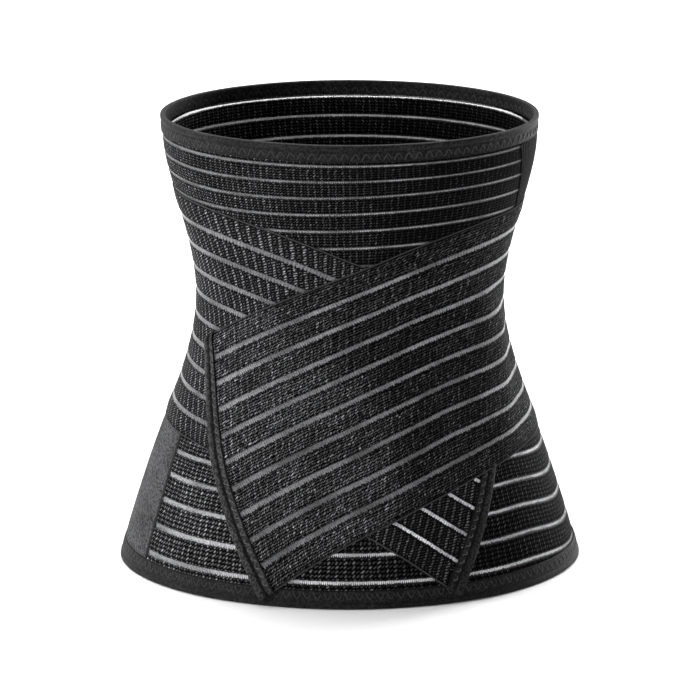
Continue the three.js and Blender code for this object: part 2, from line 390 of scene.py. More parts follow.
elastic = {
    "gap": 0.0003,  # grey of the holes
    "tube": {
        "rows": 5,  # rows of loops between two sheer stripes
        "stripe": 0.21,  # a stripe's share of the cloth
        "loops": 168,  # round the tube
        "holeLength": 0.43, "holeHeight": 0.42, "loopLength": 0.48, "loopHeight": 0.28,  # half sizes in cells
        "tilt": 0.7, "lean": 0.0, "uneven": 0.8, "wander": 0.6, "dull": 0.9,
        "yarn": 0.46, "yarnPaintedLight": (1.0, 0.20),  # painted light at the left and painted shade at the right
        # the stripes' second pair is a painted highlight: weak at the left and strong at the right
        "sheer": 0.95, "sheerPaintedLight": (0.36, 0.85), "width": (1.0, 0.58),
        "cover": (0.7, 0.3),  # of a thread, and of the gap beside it
        "hatch": 4,  # threads to a loop
        "hatchDepth": 0.5, "sheen": 0.3, "gloss": 0.5, "tooth": 0.3,
    },
    "strap": {
        "rows": 7, "stripe": 0.26, "pitches": 10,
        "holeLength": 0.43, "holeHeight": 0.40, "loopLength": 0.54, "loopHeight": 0.27,
        "tilt": -0.6, "lean": 1.3, "uneven": 1.0, "wander": 1.1, "dull": 0.5,
        "yarn": 0.41, "sheer": 0.30, "cover": (0.97, 0.9),
        "hatch": 3, "hatchDepth": 0.75, "sheen": 0.1, "gloss": 0.2, "tooth": 0.22,
        "rise": (28, 48),  # loops from the root, between which the look changes to the free end's
    },
    "upper": (8, 14),  # the tube's stripes from which it is darker up to the top, and how much: painted shade on the yarn and the stripes, and narrower stripes
    "upperYarnShade": 0.7, "upperSheerShade": 0.55, "upperWidth": 0.85,
    "backTop": 19.5,  # at the back the stripe above this is wider and more open, and lighter by painted light shining through it
    "backWidth": 1.6, "backPaintedLight": 1.7, "backTopCover": 0.33, "backCover": 0.76,
    "bandEdge": (0.455, 0.5),  # from a band's middle to its dark edge, and that edge's level
    "bandEdgeLevel": 0.15,
    "selvage": (0.03, 0.08),  # the light line along a strap's edge, in stripe pitches, and its level
    "selvageLevel": 0.10,
    "groove": (0.08, 0.16), "grooveShadeLevel": 0.25,  # the painted shade of a groove beside it
    "border": (0.3, 0.5),  # the knit beside that, which has no band edges
    "ragged": 1.6,  # how far the fibres break up a stripe's sides
    "lowSide": -0.48, "highSide": (0.65, 1.05),  # of the lit part, across a stripe from -1 to 1
    "shut": 0.97,  # cover of the dark sides of a stripe
}
# pairs for the root and for the free end: the yarn's is painted light, lighter towards the body's left, and
# the stripes' a painted highlight, brighter towards its right
elastic["over"] = {
    **elastic["strap"], "yarnPaintedLight": (0.42, 1.0), "sheerPaintedLight": (0.62, 0.42), "width": (0.82, 1.0),
}
elastic["under"] = {
    **elastic["strap"], "tilt": 1.5, "lean": 0.95, "uneven": 0.5, "wander": 0.4, "dull": 1.0, "sheer": 0.8,
    "yarnPaintedLight": (1.0, 0.7), "sheerPaintedLight": (0.14, 0.75), "width": (1.0, 0.6),
}


def alongCloth(tree, u, kind):
    # on the tube 0 at the left, rising to 1 a little past the front, and on a strap rising from its root to
    # its free end; it spreads the painted light of the yarn and the stripes, and the stripes' width
    if kind == "tube":
        return faded(tree, wave(tree, u, elastic["tube"]["loops"]), -1.0, 0.5)
    return faded(tree, u, *elastic["strap"]["rise"])


def upCloth(tree, v, kind, above):
    # the share left above the tube's lower stripes: painted shade for the yarn and the stripes, and their
    # width
    return faded(tree, v, *elastic["upper"], 1.0, above) if kind == "tube" else 1.0


def behindTube(tree, u, v):
    # masks of the back of the tube: its top stripe, and the stripes below that
    turn = calc(tree, "MULTIPLY", u, 2 * math.pi / elastic["tube"]["loops"])
    behind = faded(tree, calc(tree, "COSINE", turn), -0.7, -0.1, 1.0, 0.0)
    top = product(tree, behind, faded(tree, v, elastic["backTop"] - 0.1, elastic["backTop"] + 0.1))
    return top, calc(tree, "SUBTRACT", behind, top)


def makeElastic(kind):
    # the closed bands: rows of loops laid out by the cloth's own coordinates, U in loops and V in stripes. A
    # strap has a light selvage along both edges, with a painted shade line of a groove beside it. The yarn's
    # brightness holds painted light, lighter towards the left, and painted shade up the tube
    settings = elastic[kind]
    material, tree, shader = newMaterial(kind + "Knit", 0.03, Roughness=0.55, Specular_IOR_Level=0.01)
    u, v = weaveUv(tree)
    half = settings["stripe"] / 2
    fromStripe = calc(tree, "SUBTRACT", v, half)
    inBand = calc(tree, "DIVIDE", calc(tree, "FRACT", fromStripe), 1 - 2 * half)
    across = product(tree, calc(tree, "ADD", inBand, calc(tree, "FLOOR", fromStripe)), settings["rows"])
    along = calc(tree, "MULTIPLY_ADD", v, settings["lean"], u)
    shape = {key: settings[key] for key in knitInputs}
    cells = placeGroup(tree, knitGroup, along=along, across=across, **shape)
    fuzz = placeGroup(tree, fuzzGroup, fine=900.0, slow=30.0)
    # tone: random tone, times painted shade up the tube and painted light from the left to the right
    tone = product(tree, varied(tree, fuzz["tone"], 0.7, 1.25), upCloth(tree, v, kind, elastic["upperYarnShade"]),
                   between(tree, alongCloth(tree, u, kind), *settings["yarnPaintedLight"]))
    speckle = faded(tree, fuzz["speckle"], 0.35, 0.7, 0.6, 1.4)
    fromBandMiddle = calc(tree, "ABSOLUTE", calc(tree, "SUBTRACT", inBand, 0.5))
    edge = faded(tree, fromBandMiddle, *elastic["bandEdge"], 1.0, elastic["bandEdgeLevel"])
    shade = product(tree, cells["yarn"], tone, speckle)
    if kind == "tube":
        shade = product(tree, shade, edge)
    else:
        toEdge = calc(tree, "MINIMUM", v, calc(tree, "SUBTRACT", settings["pitches"], v))
        edge = calc(tree, "MAXIMUM", edge, faded(tree, toEdge, *elastic["border"], 1.0, 0.0))
        # a painted shade line of a groove beside the selvage
        groove = faded(tree, toEdge, *elastic["groove"], elastic["grooveShadeLevel"], 1.0)
        selvage = faded(tree, toEdge, *elastic["selvage"], elastic["selvageLevel"], 0.0)
        shade = calc(tree, "MAXIMUM", product(tree, shade, edge, groove), selvage)
    finish(tree, shader, shade, elastic["gap"], settings["yarn"], cells["height"], 0.0006)
    return material


def makeSheer(kind):
    # the sheer stripes: fine threads across the stripe with gaps that let light through, a toothed dark line
    # at the lower side, ragged sides, and less width where the cloth is stretched along. Their brightness
    # holds a painted highlight, stronger towards the right, painted shade up the tube, and painted light
    # shining through the top stripe at the back
    settings = elastic[kind]
    material, tree, shader = newMaterial(
        kind + "Sheer", settings["sheer"], Sheen_Weight=settings["sheen"], Sheen_Roughness=0.35,
        Specular_IOR_Level=settings["gloss"])
    u, v = weaveUv(tree)
    along = alongCloth(tree, u, kind)
    # the stripes' width, and their painted light: a painted highlight from the left to the right, with
    # painted shade up the tube
    width, paintedLight = (
        product(tree, between(tree, along, *settings[pair]), upCloth(tree, v, kind, elastic[above]))
        for pair, above in (("width", "upperWidth"), ("sheerPaintedLight", "upperSheerShade")))
    thread = faded(tree, wave(tree, u, 1 / settings["hatch"]), -0.7, 0.7)
    threadCover, gapCover = settings["cover"]
    cover = between(tree, thread, gapCover, threadCover)
    if kind == "tube":
        backTop, backRest = behindTube(tree, u, v)
        width = product(tree, width, between(tree, backTop, 1.0, elastic["backWidth"]))
        # painted light shining through the top stripe at the back
        paintedLight = product(tree, paintedLight, between(tree, backTop, 1.0, elastic["backPaintedLight"]))
        cover = between(tree, backTop, cover, elastic["backTopCover"])
        cover = between(tree, backRest, cover, elastic["backCover"])
    fromMiddle = calc(tree, "SUBTRACT", v, calc(tree, "ROUND", v))
    place = calc(tree, "DIVIDE", calc(tree, "DIVIDE", fromMiddle, settings["stripe"] / 2), width)
    fuzz = placeGroup(tree, fuzzGroup, fine=800.0, slow=38.0)
    fibres = calc(tree, "SUBTRACT", fuzz["speckle"], 0.5)
    ragged = calc(tree, "MULTIPLY_ADD", fibres, elastic["ragged"], place)
    tooth = calc(tree, "MULTIPLY_ADD", thread, -settings["tooth"], elastic["lowSide"])
    lower = faded(tree, calc(tree, "SUBTRACT", ragged, tooth), -0.2, 0.2)
    lit = product(tree, lower, faded(tree, ragged, *elastic["highSide"], 1.0, 0.0))
    # strength holds the painted light of the stripes
    strength = product(tree, between(tree, thread, settings["hatchDepth"], 1.0), paintedLight,
                       varied(tree, fuzz["tone"], 0.55, 1.3), varied(tree, fuzz["speckle"], 0.55, 1.4))
    finish(tree, shader, product(tree, lit, strength), 0.001, settings["sheer"], thread, 0.0002)
    plug(tree, shader.inputs["Roughness"], between(tree, lit, 1.0, 0.3))
    plug(tree, shader.inputs["Alpha"], between(tree, lit, elastic["shut"], cover))
    return material


tapeCloth = {
    "ribs": 0.0011, "threads": 0.0009,  # spacing across and along
    "crease": (0.0002, 0.0016),  # where its painted crease shade starts and ends
    "edge": (0.0010, 0.0003),  # of the painted shadow, from the free edge
}


def makeTape(name, level, crease, edge):
    # close woven tape: ribs times threads and fuzz, painted shade in the crease where it is sewn down, at V =
    # 0, and a painted shadow along its free edge
    material, tree, shader = newMaterial(
        name, 0.04, Roughness=0.6, Sheen_Weight=0.03, Sheen_Roughness=0.5, Specular_IOR_Level=0.08)
    u, v = weaveUv(tree)
    crossing = product(tree, wave(tree, v, tapeCloth["ribs"]), wave(tree, u, tapeCloth["threads"]))
    weave = calc(tree, "MULTIPLY_ADD", crossing, 0.25, 0.5)
    fuzz = placeGroup(tree, fuzzGroup, fine=640.0, slow=35.0)
    shade = product(tree, varied(tree, fuzz["speckle"], 0.15, 1.0, 0.08),
                    varied(tree, fuzz["tone"], 0.75, 1.2), calc(tree, "MULTIPLY_ADD", weave, 0.5, 0.6),
                    # painted shade in the crease where the tape is sewn down
                    faded(tree, calc(tree, "ABSOLUTE", v), *tapeCloth["crease"], crease, 1.0),
                    # painted shadow along the free edge
                    faded(tree, v, *(edge - back for back in tapeCloth["edge"]), 1.0, 0.1))
    relief = calc(tree, "MULTIPLY_ADD", fuzz["speckle"], 0.6, weave)
    finish(tree, shader, shade, 0.0005, level, relief, 0.00022)
    return material


def makeThread(name, dark, light):
    # twisted sewing thread: light and dark turns along it, one for each 1.1 mm
    material, tree, shader = newMaterial(name, light, Roughness=0.5, Specular_IOR_Level=0.3)
    u, v = weaveUv(tree)
    turn = wave(tree, calc(tree, "ADD", calc(tree, "DIVIDE", u, 0.0011), v), 1)
    finish(tree, shader, faded(tree, turn, -1.0, 1.0), dark, light, turn, 0.0001)
    return material


def makePile():
    # short brushed loops: a slanting twill, one line for each 1.6 mm, broken up by noise, a soft sheen, and a
    # painted shadow along its front edge, at U = 0
    material, tree, shader = newMaterial(
        "brushedPile", 0.1, Roughness=0.9, Sheen_Weight=0.05, Sheen_Roughness=0.5, Specular_IOR_Level=0.05)
    u, v = weaveUv(tree)
    fuzz = placeGroup(tree, fuzzGroup, fine=600.0, slow=34.0)
    twill = wave(tree, calc(tree, "MULTIPLY_ADD", v, 0.6, u), 0.0016)
    nap = calc(tree, "MULTIPLY_ADD", twill, 0.10, fuzz["speckle"])
    shade = product(tree, varied(tree, nap, 0.08, 1.0, 0.08), varied(tree, fuzz["tone"], 0.5, 1.3),
                    # painted shadow along the front edge
                    faded(tree, u, 0.0012, 0.0026))
    finish(tree, shader, shade, 0.006, 0.066, nap, 0.0005)
    return material


def makePlainKnit():
    # close dark knit: upright ribs, one for each 2.1 mm
    material, tree, shader = newMaterial("plainKnit", 0.02, Roughness=0.7, Specular_IOR_Level=0.02)
    rib = wave(tree, weaveUv(tree)[0], 0.0021)
    fuzz = placeGroup(tree, fuzzGroup, fine=650.0, slow=30.0)
    shade = product(tree, faded(tree, rib, -1.0, 1.0, 0.35, 1.0),
                    varied(tree, fuzz["speckle"], 0.2, 1.0, 0.08))
    finish(tree, shader, shade, 0.0005, 0.014, rib, 0.0002)
    return material


elasticCloths = {kind: [makeElastic(kind), makeSheer(kind)] for kind in ("tube", "over", "under")}
rimThread, endThread = makeThread("rimThread", 0.006, 0.034), makeThread("endThread", 0.02, 0.12)
pileCloth, plainCloth = makePile(), makePlainKnit()
print("materials made")


# ribbed bands and sheer stripes, in stripe units across the cloth

stripeSide = 1.001  # a stripe's half width in its own unit, with room for rounding


def bandRows(half, ribCount, first, last, extra=()):
    # rows across the cloth: five on each stripe, and one on each crest and valley of the ribs between two
    ribs = half + (1 - 2 * half) * np.arange(1, 2 * ribCount) / (2 * ribCount)
    pitch = np.concatenate([half * np.array([-1, -0.7, 0, 0.7, 1]), ribs])
    rows = (np.arange(math.floor(first) - 1, math.ceil(last) + 1)[:, None] + pitch).ravel()
    return np.sort(np.concatenate([rows[(rows > first + 0.01) & (rows < last - 0.01)], [first, last], extra]))


def stripeAt(half, v, lowest, highest):
    # distance from the nearest stripe's middle, 1 at its side; where no stripe is, a larger number
    return np.abs(v - np.clip(np.round(v), lowest, highest)) / half


def sunkShare(off):
    # 0 at a stripe's sides and 1 from a little inside them
    return np.clip((1 - off) / 0.3, 0, 1)


def bandRelief(half, ribCount, v, off, ribDepth, stripeDepth):
    # crests at the cloth's face, valleys a rib's depth below it, and stripes sunk further
    rib = np.abs(np.sin(math.pi * ribCount * np.mod(v - half, 1) / (1 - 2 * half)))
    return np.where(off < stripeSide, -ribDepth - stripeDepth * sunkShare(off), -ribDepth * (1 - rib))


# the striped elastic tube

tube = {
    "columns": 192,
    "thickness": 0.0016,
    "ribDepth": 0.00022, "stripeDepth": 0.0003, "innerDepth": 0.0003,
    "rimGap": 0.0013,  # from each rim to the cloth's edge, inside the folded tape
    "stripeHeights": [  # number of the stripe, counted from the hem, then its height
        (0, 0.0178), (2, 0.0554), (4, 0.0885), (10, 0.1780), (15, 0.2431), (18, 0.2789), (20, 0.3005),
    ],
    "stripes": 21,
    "lean": 0.0021,  # how far the upper stripes rise towards the right front
    "sideDrop": 0.0068,  # how far the lower stripes sink behind the right front
    "backSpread": 0.32,  # how much wider apart the upper stripes lie at the back
    "spreadFrom": 0.2898,  # height that they spread from
    "flat": (0.305, 0.600),
}


def stripeDrift(around, z):
    # the upper stripes lean across the front and spread at the back, and the lower ones sink at the right
    front = np.sin(np.radians(np.clip(around, -90, 90) * 2))
    upper = eased(z, 0.20, 0.26) * (1 - eased(z, 0.275, 0.31))
    behind = eased(around, 50, 80) * (1 - eased(around, 130, 175))
    sink = tube["sideDrop"] * behind * np.sin(math.pi * np.clip(z / 0.11, 0, 1)) ** 0.7
    back = eased(np.abs(around), 80, 140) * eased(z, 0.22, 0.27)
    spread = tube["backSpread"] * back * np.maximum(z - tube["spreadFrom"], -0.02)
    return tube["lean"] * front * upper - sink + spread


def makeTube():
    # the outline runs up the outer face and down the inner one, and is carried round the body
    heightOf = curveThrough(tube["stripeHeights"])
    low, high = tube["rimGap"], body["height"] - tube["rimGap"]
    numbers = np.linspace(-2, 23, 400)
    first, last = np.interp((low, high), heightOf(numbers), numbers)
    half, ribCount = elastic["tube"]["stripe"] / 2, elastic["tube"]["rows"]
    outer = bandRows(half, ribCount, first, last)
    stripe = stripeAt(half, outer, 0, tube["stripes"] - 1) < stripeSide
    middle = np.abs(np.mod(outer, 1) - 0.5) < 0.01
    ends = (outer == first) | (outer == last)
    v = np.concatenate([outer, outer[stripe | middle | ends][::-1]])
    off = stripeAt(half, v, 0, tube["stripes"] - 1)
    relief = bandRelief(half, ribCount, v, off, tube["ribDepth"], tube["stripeDepth"])
    inside = -tube["thickness"] + tube["innerDepth"] * sunkShare(off)
    out = np.where(np.arange(len(v)) < len(outer), relief, inside)
    around = np.linspace(0, 360, tube["columns"] + 1)[:, None]
    z = np.clip(heightOf(v), low, high)
    z = np.clip(z + stripeDrift(np.mod(around + 180, 360) - 180, z), low, high)
    points = onBody(around, z, out)
    uv = grid(around / 360 * elastic["tube"]["loops"], v)
    nextToo = np.roll(off, -1) < stripeSide
    kinds = ((off < stripeSide) & nextToo & (np.abs(np.roll(v, -1) - v) < 0.5)).astype(int)
    return loft("striped_tube", points[:-1], uv, elasticCloths["tube"], closedPath=True, kinds=kinds)


tubePiece = makeTube()
print("tube made")


# tape folded over an edge

tape = {"thickness": 0.0007, "gap": 0.00015}


def tapeOutline(cloth, outside, inside, roll, puff, groove):
    # pairs of (distance back from the fold, distance outside the cloth's face): once along the tape's outer
    # side, from the free edge in front over the fold to the free edge behind, and once along its inner side
    t, g = tape["thickness"], tape["gap"]
    behind = -cloth - g
    halfway = mixed(roll, outside, 0.5)
    outer = [
        (outside, g), (outside, g + t), (outside - 0.0008, g + t), (halfway, g + t),
        (roll + 0.0006, g + t * 0.9), (roll, g + t * (1 - groove)), (roll * 0.8, puff),
        (roll * 0.35, puff * 1.05), (0.0002, puff * 0.8), (0.0, -cloth / 2), (0.0002, behind - t * 0.9),
        (roll * 0.5, behind - t * 1.05), (inside - 0.0008, behind - t), (inside, behind - t),
        (inside, behind),
    ]
    inner = [
        (outside - 0.0002, g), (outside - 0.0008, g), (outside - 0.0014, g), (halfway, g), (roll + 0.0006, g),
        (roll, g), (roll * 0.8, g), (t + 0.0006, g), (t, g * 0.5), (t, -cloth / 2), (t, behind - g * 0.5),
        (t + 0.0006, behind), (inside - 0.0014, behind), (inside - 0.0008, behind), (inside - 0.0002, behind),
    ]
    return np.concatenate([cornersCut(outer), cornersCut(inner)[::-1]])


def makeTapePiece(name, outline, points, measured, roll, cloth, closedPath):
    # V is 0 where the tape is sewn down; the flat size is the way round the fold by the way one point goes
    length = pathLength(points[:, measured])
    uv = grid(length[:, None], outline[:, 0] - roll)
    width = pathLength(outline)[len(outline) // 2 - 1]
    piece = loft(name, points[:-1] if closedPath else points, uv, [cloth], closedPath=closedPath)
    return piece, (float(width), length[-1])


rimTapes = {
    "columns": 560,
    "roll": 0.0042,  # from the fold to where the tape is sewn down
    "puff": 0.0011, "groove": 0.35,
    "pucker": 0.00028, "puckerWidth": 0.0022,
    "top": {"rim": body["height"], "inward": -1, "outside": 0.0115, "inside": 0.0095,
            "near": 0.0058, "far": 0.0102, "loops": 112},
    "bottom": {"rim": 0.0, "inward": 1, "outside": 0.0130, "inside": 0.0095,
               "near": 0.0070, "far": 0.0118, "loops": 140},
}


def makeRimTape(which):
    # the outline is carried round the rim, and sinks a little where each stitch pulls it in
    settings, roll = rimTapes[which], rimTapes["roll"]
    outline = tapeOutline(tube["thickness"], settings["outside"], settings["inside"], roll, rimTapes["puff"],
                          rimTapes["groove"])
    back, out = outline.T
    around = np.linspace(0, 360, rimTapes["columns"] + 1)[:, None]
    seam = np.exp(-((back - (settings["near"] + settings["far"]) / 2) / rimTapes["puckerWidth"]) ** 2)
    pull = 0.5 - 0.5 * np.cos(np.radians(around * settings["loops"] * 2))
    out = out - rimTapes["pucker"] * pull * (seam * np.sign(out + tube["thickness"] / 2))
    points = onBody(around, settings["rim"] + settings["inward"] * back, out)
    cloth = makeTape(which + "Tape", 0.019, 0.8, settings["outside"] - roll)
    return makeTapePiece(which + "_tape", outline, points, 5, roll, cloth, True)


(topTape, topFlat), (bottomTape, bottomFlat) = makeRimTape("top"), makeRimTape("bottom")
print("rim tapes made")


# the straps

straps = {
    "root": 112,  # degrees round the body where both are sewn on
    "endLow": -23, "endHigh": -63.8,  # the same at the corners of the free end
    "underRise": 0.0085, "underReach": 3.5,  # how much higher and farther round the under strap lies
    "thickness": 0.0011,
    "ribDepth": 0.00025, "stripeDepth": 0.00025,
    "layerGap": 0.0003,
    "edgeRound": 0.0003,
    "edgeThin": 0.0007,  # how much thinner the long edges are
    "drape": 0.030,  # how far the over strap takes to come down beside what it lies on
    "tapeStep": 0.0009,  # room for the tape behind the free end
    "tapeRise": 0.0011,  # how far the tape stands out in front of it
    "cell": {"under": 0.0058, "over": 0.0050},  # one loop along the cloth
    "columns": 150,
    "bunch": 0.0068,  # how far the stripes sag together behind the side
    "cornerRound": 0.0055,
    "topEdge": [  # degrees round the body, then share of the height
        (-66, 0.528), (-45, 0.592), (-22, 0.658), (0, 0.716), (22, 0.768), (45, 0.802), (70, 0.814),
        (112, 0.817),
    ],
    "bottomEdge": [
        (-24, 0.006), (-12, 0.084), (0, 0.145), (12, 0.189), (25, 0.230), (40, 0.266), (60, 0.289),
        (112, 0.302),
    ],
    "flat": (0.165, 0.290),
}
endTapes = {
    "columns": 240,
    "width": 0.0104, "roll": 0.0056, "puff": 0.0019,
    "near": 0.0066, "far": 0.0092, "loop": 0.0062,  # of the zigzag
    "seam": 0.0078, "pucker": 0.00012, "puckerWidth": 0.0016,
    "slimming": 0.0012,  # how far from both its ends the tape gets thinner
}
panels = {
    "thickness": 0.0005, "gap": 0.0001, "tuck": 0.006, "rimGap": 0.0003,
    "edgeRound": 0.0003, "edgeWidth": 0.0012,
    "leftFront": 64.5, "rightFrontTop": 63.8, "rightFrontLow": 72.4,
    "leftWidth": 0.080, "rightWidth": 0.070,  # of the flat cloth
}
topEdge = curveThrough([(a, share * body["height"]) for a, share in straps["topEdge"]])
bottomEdge = curveThrough([(a, share * body["height"]) for a, share in straps["bottomEdge"]])
arcPerDegree = math.radians((body["waist"][0] + body["waist"][1]) / 2)


def makeStrapForm(side, rise, reach):
    # its way round, its rise and reach past the edges in the table, its length and that of its free end
    form = {"side": side, "rise": rise}
    form["endLow"], form["endHigh"] = straps["endLow"] - reach, straps["endHigh"] - reach
    a, b = (onBody(*strapPlace(form, along, 0.5), 0) for along in (1, 0.99))
    form["length"] = float(np.linalg.norm(a - b)) * 100
    low, high = (onBody(*strapPlace(form, 1, across), 0) for across in (0, 1))
    form["endEdge"] = float(np.linalg.norm(low - high))
    return form


def strapPlace(form, along, across):
    # angle and height: straight from the root to the free end, and from the lower edge to the upper one
    lowAround = mixed(straps["root"], form["endLow"], along)
    highAround = mixed(straps["root"], form["endHigh"], along)
    z = mixed(bottomEdge(lowAround), topEdge(highAround), across) + form["rise"]
    return form["side"] * mixed(lowAround, highAround, across), z


overForm = makeStrapForm(1, 0.0, 0.0)
underForm = makeStrapForm(-1, straps["underRise"], straps["underReach"])


def insideStrap(form, around, z):
    # distance within a strap's edges and within its free end
    own = around * form["side"]
    low, high = bottomEdge(own) + form["rise"], topEdge(own) + form["rise"]
    endLow = bottomEdge(form["endLow"]) + form["rise"]
    endHigh = topEdge(form["endHigh"]) + form["rise"]
    end = (own - mixed(form["endLow"], form["endHigh"], (z - endLow) / (endHigh - endLow))) * arcPerDegree
    return np.minimum(z - low, high - z), end


def cover(inside, margin=0.0015, drape=0.007):
    # 1 within an outline and its margin, falling to 0 where the cloth has come down past it
    return eased(inside, -margin - drape, -margin)


def groundLift(around, z):
    # height of the hem's tape and the side panels above the bare tube
    hem = cover(rimTapes["bottom"]["outside"] - z) * (tape["gap"] + tape["thickness"])
    left, right, tuck = -around, around, panels["tuck"]
    underLeft = np.minimum((left - panels["leftFront"]) * arcPerDegree,
                           bottomEdge(left) + underForm["rise"] + tuck - z)
    underRight = np.minimum((right - panels["rightFrontTop"]) * arcPerDegree, z - topEdge(right) + tuck)
    panel = np.maximum(cover(underLeft, 0.001, 0.016), cover(underRight, 0.001, 0.016))
    return np.maximum(hem, panel * (panels["gap"] + panels["thickness"]))


def strapLift(form, around, z, fromEnd):
    # height of a strap's back: on the ground, on the other strap and its tape, and on its own tape at the end
    lift = groundLift(around, z)
    drape, width = straps["drape"], endTapes["width"]
    if form is overForm:
        edges, end = insideStrap(underForm, around, z)
        onTape = cover(width - end, 0.001, drape)
        step = straps["layerGap"] + straps["thickness"] + (straps["tapeStep"] + straps["tapeRise"]) * onTape
        lift = lift + step * cover(edges, 0.001, drape) * cover(end, 0.002, drape)
    return lift + straps["layerGap"] + straps["tapeStep"] * cover(width - fromEnd, 0.001, 0.005)


def strapSurface(form, fromEnd, across, out):
    # a point of the strap by its distance from the free end, its share of the way across and its height above
    # the back: the upper corner is rounded, and behind the side the stripes sag together
    side = np.clip(straps["cornerRound"] - (1 - across) * form["endEdge"], 0, straps["cornerRound"])
    inset = straps["cornerRound"] - np.sqrt(np.maximum(straps["cornerRound"] ** 2 - side ** 2, 0))
    along = 1 - (fromEnd + inset * (1 - eased(fromEnd, 0.004, 0.02))) / form["length"]
    around, z = strapPlace(form, along, across)
    z = z - straps["bunch"] * np.sin(math.pi * across) * (1 - eased(along, 0.3, 0.72))
    return onBody(around, z, strapLift(form, around, z, fromEnd) + out)


def clothCoordinates(points, cell):
    # U in loops, with its lines square to the stripes: the length along the middle row, changed on the way
    # across by how far each step leans along the stripes
    along = np.gradient(points, axis=0)
    along /= np.linalg.norm(along, axis=-1, keepdims=True)
    steps = np.diff(points, axis=1)
    lean = (steps * (along[:, 1:] + along[:, :-1]) / 2).sum(-1)
    drift = np.concatenate([np.zeros((len(points), 1)), np.cumsum(lean, axis=1)], axis=1)
    middle = points.shape[1] // 2
    return (pathLength(points[:, middle])[:, None] + drift - drift[:, middle:middle + 1]) / cell


def makeStrap(which, form):
    # ribbed face and plain back, ending inside the folded tape
    cloth = elastic["strap"]
    half, ribCount, last = cloth["stripe"] / 2, cloth["rows"], cloth["pitches"]
    v = bandRows(half, ribCount, 0.0, last, (0.03, last - 0.03))
    off = stripeAt(half, v, 1, last - 1)
    relief = bandRelief(half, ribCount, v, off, straps["ribDepth"], straps["stripeDepth"])
    toEdge = np.minimum(v, last - v)
    edge = np.clip(1 - toEdge / 0.06, 0, 1)
    relief = np.where(toEdge < half, -0.0001 - straps["edgeRound"] * edge ** 2, relief)
    relief = relief - straps["edgeThin"] * (1 - eased(toEdge, 0.0, 0.5))
    nearRoot = form["length"] * 0.9999
    fromEnd = np.concatenate([np.linspace(nearRoot, endTapes["width"] + 0.002, straps["columns"]),
                              np.linspace(endTapes["width"], tape["thickness"] + 0.0004, 5)])[:, None]
    face = strapSurface(form, fromEnd, v / last, straps["thickness"] + relief)
    back = strapSurface(form, fromEnd, v / last, straps["edgeRound"] * edge)
    sheer = (off[:-1] < stripeSide) & (off[1:] < stripeSide) & (np.round(v[1:]) == np.round(v[:-1]))
    kinds = np.concatenate([sheer, [False], sheer[::-1], [False]]).astype(int)
    uv = grid(clothCoordinates(face, straps["cell"][which]), v)
    return twoFaced(which + "_strap_cloth", face, back, uv, elasticCloths[which], kinds)


def makeEndTape(which, form, level):
    # the outline is carried along the free end, with a roll at the fold and a flat stitched strip beside it
    roll, cloth = endTapes["roll"], straps["thickness"]
    outline = tapeOutline(cloth, endTapes["width"], endTapes["width"], roll, endTapes["puff"], 1.0)
    back, out = outline.T
    share = np.linspace(0, 1, endTapes["columns"])[:, None]
    pull = 0.5 - 0.5 * np.cos(2 * math.pi * share * form["endEdge"] / (endTapes["loop"] / 2))
    seam = np.exp(-((back - endTapes["seam"]) / endTapes["puckerWidth"]) ** 2) * (out > 0)
    ends = np.minimum(share, 1 - share) * form["endEdge"]
    slim = np.sqrt(np.clip(ends / endTapes["slimming"], 0.12, 1))
    lifted = -cloth / 2 + (out + cloth / 2) * slim - endTapes["pucker"] * pull * seam
    points = strapSurface(form, back, share, cloth + lifted)
    name = which + "_strap_tape"
    material = makeTape(name + "_cloth", level, 0.2, endTapes["width"] - roll)
    return makeTapePiece(name, outline, points, 7, roll, material, False)


underStrap, overStrap = makeStrap("under", underForm), makeStrap("over", overForm)
# the over strap's tape is painted lighter and the under strap's darker: painted light and shade of one tape
underTape, underFlat = makeEndTape("under", underForm, 0.024)
overTape, overFlat = makeEndTape("over", overForm, 0.044)
print("straps made")


# the side panels

def makePanel(name, side, frontLow, frontTop, lowAndTop, width, material):
    # a sheet with rounded edges from its front edge back to the strap roots, and its flat size by its area
    i, j = np.linspace(0, 1, 60)[:, None], np.linspace(0, 1, 40)
    around = mixed(mixed(frontLow, frontTop, j), straps["root"] - 0.5, i)
    z = mixed(*lowAndTop(around), j)
    nearEdge = np.minimum(np.minimum(i, 1 - i), np.minimum(j, 1 - j)) * 0.08 / panels["edgeWidth"]
    rounding = panels["edgeRound"] * (1 - np.clip(nearEdge, 0, 1)) ** 2
    face = onBody(around * side, z, panels["gap"] + panels["thickness"] - rounding)
    back = onBody(around * side, z, panels["gap"] + rounding)
    uv = grid(pathLength(face[:, len(j) // 2])[:, None], z)
    return twoFaced(name, face, back, uv, [material]), (width, surfaceArea(face) / width)


leftPanel, leftFlat = makePanel(
    "left_panel_pile", -1, panels["leftFront"], panels["leftFront"],
    lambda a: (rimTapes["bottom"]["outside"] + panels["rimGap"],
               bottomEdge(a) + straps["underRise"] + panels["tuck"]),
    panels["leftWidth"], pileCloth)
rightPanel, rightFlat = makePanel(
    "right_panel_knit", 1, panels["rightFrontLow"], panels["rightFrontTop"],
    lambda a: (topEdge(a) - panels["tuck"], body["height"] - rimTapes["top"]["outside"] - panels["rimGap"]),
    panels["rightWidth"], plainCloth)
print("panels made")


# stitching

thread = {"radius": 0.00036, "sides": 6, "steps": 12, "sunk": 0.00047, "proud": -0.00010}


